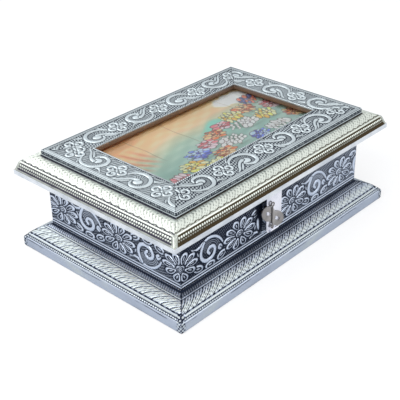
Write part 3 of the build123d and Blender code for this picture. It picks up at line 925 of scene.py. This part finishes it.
# Blossom colours of the printed garden, then its plants: place, foot, half width, height and colours
WHITE = ((244, 240, 230), (222, 216, 204), (240, 212, 196))
YELLOW = ((236, 204, 104), (246, 230, 158), (204, 160, 74))
BLUE = ((108, 126, 204), (172, 186, 234), (66, 78, 146))
ROSE = ((218, 116, 118), (240, 186, 180), (172, 66, 76))
ORANGE = ((218, 116, 70), (240, 176, 128), (150, 70, 46))
DUSK = ((92, 104, 156), (214, 112, 84), (60, 66, 112))
PLANTS = (
    (76, 12, 10, 17, DUSK), (60, 2, 10, 18, ORANGE), (40, -1, 11, 19, YELLOW), (82, -9, 9, 20, ROSE),
    (22, -4, 8, 14, ROSE), (64, -17, 11, 18, YELLOW), (5, -12, 10, 17, ORANGE), (37, -16, 15, 17, WHITE),
    (-12, -19, 9, 15, ROSE), (82, -33, 8, 18, ORANGE), (-29, -27, 11, 18, BLUE), (8, -30, 13, 18, WHITE),
    (-46, -36, 12, 16, YELLOW), (-12, -38, 11, 16, ORANGE), (32, -38, 9, 15, BLUE), (55, -37, 12, 14, WHITE),
    (-66, -41, 8, 12, ROSE), (-28, -46, 12, 14, YELLOW),
)
BLOSSOMS = 22
REEDS = (-74.0, -52.0, -12.0, 54.0, 77.0)


def garden(x, y):
    """A flowering garden at sunset.

    Sky, hills and lawn are bands of height bent by two sines. Each plant is a bent stem and some twenty
    blossoms on a sunflower spiral, every one an oval of its own size and turn, with a dark rim and one
    light side. At the end the colours are made brighter and richer, because glass lies over the print.
    """
    level = y - 0.13 * (x + 10) + 2.4 * np.sin(x / 19.0) + 1.4 * np.sin(x / 8.3 + 1.0)
    heights = (-60, -16, 4, 16, 26, 38, 58)
    shades = np.array([paint(*shade)[:3] for shade in (
        (136, 158, 142), (138, 164, 146), (156, 172, 148), (188, 178, 144), (222, 176, 132), (228, 172, 124),
        (196, 132, 88))])
    colour = np.stack([np.interp(level, heights, shade) for shade in shades.T], -1)

    def lay_over(mask, shade):
        """Cover the print with a colour where the mask is 1."""
        nonlocal colour
        colour = colour + mask[..., None] * (np.array(paint(*shade)[:3]) - colour)

    wash = np.sin(y / 2.3 + 1.6 * np.sin(x / 15.0)) * np.sin(x / 11.0 + y / 5.0)
    wash = wash + 0.6 * np.sin(x / 3.1 - y / 2.0)
    lay_over(0.10 * smooth(-0.2, 1.2, wash), (252, 238, 214))
    lay_over(0.07 * smooth(0.1, -1.2, wash), (96, 100, 86))
    hill = smooth(3.0, -2.0, y - 15.0 * np.exp(-((x - 22) / 18.0) ** 2) - 2)
    lay_over(0.8 * hill * smooth(-12, 2, y) * smooth(32, 10, np.abs(x - 22)), (116, 186, 164))
    lay_over(0.75 * smooth(1.0, 0.7, oval(x - 68, y - 34, 26, 11 + 1.5 * np.sin(x / 2))), (240, 236, 224))
    lay_over(0.5 * smooth(1.1, 0.6, oval(x + 66, y - 38, 26, 7 + np.sin(x / 3))), (160, 132, 84))
    drape = np.abs(nearest(x + 0.45 * y + 1.5 * np.sin(y / 7) - 4.5, 9.0))
    lay_over(0.6 * smooth(1.1, 0.4, oval(x + 72, y - 12, 24, 24)) * smooth(3.6, 1.0, drape), (206, 132, 92))
    lay_over(0.5 * smooth(1.0, 0.6, oval(x + 74, y - 12, 22, 22)) * smooth(0.9, 0.3, drape), (150, 96, 72))
    lay_over(0.4 * smooth(1.1, 0.4, oval(x + 76, y + 30, 26, 14)), (120, 148, 128))
    for place, foot, half, height, tones in PLANTS:
        middle = foot + 0.58 * height
        crown = 0.42 * height
        stem = np.abs(x - place - 0.7 * np.sin(y / 3.0 + place))
        lay_over(0.4 * smooth(1.0, 0.2, oval(x - place - 2, y - foot, 1.1 * half, 2.4)), (86, 112, 94))
        lay_over(0.8 * smooth(0.8, 0.3, stem) * smooth(foot - 1, foot, y) * (y < middle), (92, 92, 70))
        lay_over(0.75 * smooth(1.1, 0.7, oval(x - place, y - middle, half, crown)), (84, 112, 88))
        for k in range(BLOSSOMS):
            reach_out = np.sqrt((k + 0.5) / BLOSSOMS)
            turn = 2.4 * k + place
            size = 1.1 + 1.7 * ((0.618 * k + 0.13 * place) % 1.0)
            from_x = x - place - half * reach_out * np.cos(turn)
            from_y = y - middle - crown * reach_out * np.sin(turn)
            u, w = turned(from_x, from_y, 1.3 * turn)
            out = oval(u, w, 1.5 * size, 0.85 * size)
            lay_over(0.85 * smooth(1.3, 1.05, out), (76, 64, 60))
            lay_over(smooth(1.0, 0.8, out), tones[k % 3 if k % 5 else 1])
            lay_over(0.5 * smooth(0.9, 0.3, out) * smooth(0.1, 0.8, (w - 0.3 * u) / size), (252, 248, 238))
    for place in REEDS:
        reed = np.abs(x - place - 0.5 * np.sin(y / 6 + place))
        lay_over(0.5 * smooth(0.7, 0.2, reed) * smooth(-8, 2, y), (112, 108, 76))
    grey = colour.mean(axis=-1, keepdims=True)
    colour = clip01((grey + 1.1 * (colour - grey)) * (1.62, 1.72, 2.05))
    return np.concatenate([colour, np.ones_like(colour[..., :1])], -1)


class Picture(bpy.types.Operator):
    """Lay a printed garden under clear glass."""

    bl_idname = "photobox.picture"
    bl_label = "Picture and glass"

    def execute(self, context):
        columns, rows = 401, 221
        x = np.linspace(-PRINT[0], PRINT[0], columns)[None, :]
        y = np.linspace(-PRINT[1], PRINT[1], rows)[:, None]
        x, y = np.broadcast_arrays(x, y)
        front = np.stack([x, y, np.full(x.shape, PRINT_TOP)], -1)
        back = front[:, [0, -1]] - [0, 0, PRINT_TOP - PRINT_FOOT]
        piece = closed_sheet("printed_picture", front, back, picture=garden(x, y))
        paper = Finish("printed paper")
        grain = paper.noise(700.0, 3.0)
        ink = paper.attribute("picture", "Color")
        paper.bump(grain, 0.00004, 0.4)
        paper.coat(grain.between(0.3, 0.9) * 0.08, ink, paint(244, 238, 222), Roughness=grain * 0.2 + 0.45)
        lay(piece, paper.material, "lid", "picture_print")
        glass = Finish("clear glass")
        fresnel = Value(glass, glass.node("ShaderNodeFresnel", {}, IOR=1.45).outputs[0])
        streak = glass.noise(30.0, 2.0, (1, 0.3, 1))
        gloss = glass.node("ShaderNodeBsdfAnisotropic", {}, Color=(1, 1, 1, 1), Roughness=0.03)
        clear = glass.node("ShaderNodeBsdfTransparent", {}, Color=(0.99, 1.0, 0.995, 1))
        glass.feed(glass.output.inputs[0], glass.blend(fresnel * (streak * 0.3 + 0.7), clear, gloss))
        glass.tree.nodes.remove(glass.shader)
        dress(glass, "glass_pane")
        return {"FINISHED"}


class Inside(bpy.types.Operator):
    """Finish the wood, the boards, the velvet and the felt."""

    bl_idname = "photobox.inside"
    bl_label = "Wood and velvet"

    def execute(self, context):
        velvet = Finish("velvet", **{"Sheen Weight": 0.5})
        pile = velvet.noise(1400.0, 3.0)
        crush = velvet.noise(40.0, 3.0)
        velvet.bump(pile, 0.0004, 0.7)
        velvet.coat((pile * 0.4 + crush * 0.6).between(0.3, 0.7), shaded(colours().velvet, 0.6),
                    shaded(colours().velvet, 1.5), Roughness=pile * 0.1 + 0.85)
        dress(velvet, "lining_floor", *(f"lining_{side}" for side in SIDES), "lid_lining")
        wood = Finish("pale wood")
        rings = wood.noise(18.0, 4.0, (0.15, 1, 1))
        pores = wood.noise(420.0, 2.0, (0.05, 1, 1))
        wood.bump(pores, 0.0002, 0.4)
        wood.coat((rings * 0.7 + pores * 0.3).between(0.35, 0.65), paint(176, 132, 88), paint(214, 178, 130),
                  Roughness=pores * 0.2 + 0.55)
        for kind in ("wall", "plinth_moulding", "lid_moulding", "frame"):
            dress(wood, *(f"{kind}_{side}" for side in SIDES))
        dress(wood, "lid_board")
        board = Finish("pressed board")
        fibre = board.noise(260.0, 5.0)
        board.bump(fibre, 0.0002, 0.5)
        board.coat(fibre.between(0.3, 0.7), paint(118, 88, 58), paint(152, 120, 84),
                   Roughness=fibre * 0.15 + 0.75)
        dress(board, "base_board", "backing_board")
        felt = Finish("green felt")
        fluff = felt.noise(800.0, 5.0)
        felt.bump(fluff, 0.0004, 0.8)
        felt.coat(fluff.between(0.3, 0.7), paint(26, 54, 40), paint(44, 80, 60), Roughness=fluff * 0.1 + 0.88)
        dress(felt, "base_felt")
        return {"FINISHED"}


# Finishes of the clasp: name, light and dark colour, roughness and the nodes that take it
STEELS = (
    ("polished steel", (226, 228, 238), (196, 200, 214), 0.16,
     ("hasp", "hasp_bracket", "stud_plate", "stud_nails", "hasp_nails")),
    ("grey steel", (168, 166, 166), (120, 117, 116), 0.30, ("hasp_leaf", "stud")),
    ("dark wire", (140, 137, 136), (88, 86, 88), 0.32, ("hasp_staple", "hasp_pin")),
)


class Fittings(bpy.types.Operator):
    """Finish the lid's plain edge, the hinges and the clasp."""

    bl_idname = "photobox.fittings"
    bl_label = "Edge strip, hinges and clasp"

    def execute(self, context):
        strip = Finish("plain foil")
        dents = strip.noise(110.0, 3.0, (0.5, 0.5, 1))
        haze = strip.noise(700.0, 2.0)
        strip.bump(dents + haze * 0.12, 0.0006, 0.6)
        strip.coat(dents.between(0.3, 0.75), paint(214, 219, 225), paint(180, 188, 197),
                   Metallic=0.85 - haze * 0.1, Roughness=haze * 0.15 + 0.22)
        dress(strip, "lid_edge_foil")
        brass = Finish("tarnished brass")
        spots = brass.noise(190.0, 4.0)
        brass.bump(spots, 0.0001, 0.4)
        brass.coat(spots.between(0.35, 0.7), paint(206, 172, 104), paint(140, 104, 58),
                   Metallic=1.0 - spots * 0.15, Roughness=spots * 0.35 + 0.18)
        dress(brass, "hinge_leaf_box_left", "hinge_leaf_box_right", "hinge_leaf_lid_left",
              "hinge_leaf_lid_right", "hinge_pins", "hinge_nails_box", "hinge_nails_lid")
        for name, light, dark, rough, nodes in STEELS:
            steel = Finish(name)
            brushing = steel.noise(900.0, 2.0, (1, 1, 0.06))
            wear = steel.noise(60.0, 3.0)
            steel.bump(brushing, 0.00004, 0.4)
            steel.coat(wear.between(0.3, 0.75), paint(*light), paint(*dark),
                       Metallic=1.0 - wear * 0.1, Roughness=brushing * 0.12 + rough)
            dress(steel, *nodes)
        return {"FINISHED"}


def lay_floor():
    """A pale floor that glows in the rays that see it, so that it shows white and keeps the box's shadow."""
    half = 3000
    floor = put_mesh("floor", [(-half, -half, 0), (half, -half, 0), (half, half, 0), (-half, half, 0)],
                     [[0, 1, 2, 3]])
    f = Finish("white floor", Roughness=0.9)
    f.coat(f.noise(20.0, 2.0) * 0.1, paint(250, 250, 251), paint(246, 247, 249))
    glow = f.node("ShaderNodeEmission", {}, Color=(1, 1, 1, 1), Strength=1.0)
    f.feed(f.output.inputs[0], f.blend(f.seen() * 0.64, f.shader, glow))
    floor.data.materials.append(f.material)


def light_up(scene):
    """Soft light from all round, white where it is seen, and three square lamps."""
    scene.world = bpy.data.worlds.new("studio")
    scene.world.use_nodes = True
    sky = Nodes(scene.world.node_tree)
    soft = sky.node("ShaderNodeBackground", {}, Color=(0.93, 0.96, 1.0, 1), Strength=0.78)
    white = sky.node("ShaderNodeBackground", {}, Color=(1, 1, 1, 1), Strength=1.0)
    sky.node("ShaderNodeOutputWorld", {}, Surface=sky.blend(sky.seen(), soft, white))
    for name, place, size, power in LAMPS:
        lamp = bpy.data.lights.new(name, "AREA")
        lamp.size = size
        lamp.energy = power
        holder = bpy.data.objects.new(name, lamp)
        holder.location = place
        holder.rotation_euler = (BOX_MIDDLE - Vector(place)).to_track_quat("-Z", "Y").to_euler()
        scene.collection.objects.link(holder)


def set_camera(scene):
    """The camera: the lens turned by its yaw from the y axis, tipped by its pitch, and rolled."""
    yaw, pitch, roll = np.radians([LENS_YAW, LENS_PITCH, LENS_ROLL])
    ahead = Vector((np.sin(yaw) * np.cos(pitch), np.cos(yaw) * np.cos(pitch), np.sin(pitch)))
    level = Vector((np.cos(yaw), -np.sin(yaw), 0))
    upright = level.cross(ahead)
    right = np.cos(roll) * level + np.sin(roll) * upright
    up = -np.sin(roll) * level + np.cos(roll) * upright
    camera = bpy.data.objects.new("camera", bpy.data.cameras.new("camera"))
    camera.data.lens = LENS_LENGTH
    camera.data.sensor_width = 36.0
    camera.data.clip_end = 20.0
    turn = Matrix((right, up, -ahead)).transposed().to_4x4()
    camera.matrix_world = Matrix.Translation(Vector(LENS_PLACE) * MM) @ turn
    scene.collection.objects.link(camera)
    scene.camera = camera


class Stage(bpy.types.Operator):
    """Set the floor, the soft lamps and the camera."""

    bl_idname = "photobox.stage"
    bl_label = "Floor, lamps and camera"

    def execute(self, context):
        lay_floor()
        light_up(context.scene)
        set_camera(context.scene)
        context.scene.view_settings.view_transform = "Standard"
        return {"FINISHED"}


STEPS = (WallFoil, PlinthFoil, LidFoil, FrameFoil, Picture, Inside, Fittings, Stage)


class BoxPanel(bpy.types.Panel):
    """Sizes, colours and steps of the photo box."""

    bl_idname = "VIEW3D_PT_photo_box"
    bl_label = "Photo box"
    bl_space_type = "VIEW_3D"
    bl_region_type = "UI"
    bl_category = "Photo box"

    def draw(self, context):
        for group in (sizes(), colours()):
            column = self.layout.column(align=True)
            for key in group.__annotations__:
                column.prop(group, key)
        for step in STEPS:
            self.layout.operator(step.bl_idname)


CLASSES = (BoxSizes, BoxColours) + STEPS + (BoxPanel,)


def register():
    """Make the classes and the scene's sizes and colours known to Blender."""
    for kind in CLASSES:
        bpy.utils.register_class(kind)
    bpy.types.Scene.photo_box_sizes = PointerProperty(type=BoxSizes)
    bpy.types.Scene.photo_box_colours = PointerProperty(type=BoxColours)


def unregister():
    """Take them away again."""
    del bpy.types.Scene.photo_box_colours
    del bpy.types.Scene.photo_box_sizes
    for kind in reversed(CLASSES):
        bpy.utils.unregister_class(kind)


def main():
    register()
    for step in STEPS:
        group, action = step.bl_idname.split(".")
        getattr(getattr(bpy.ops, group), action)()


if __name__ == "__main__":
    main()
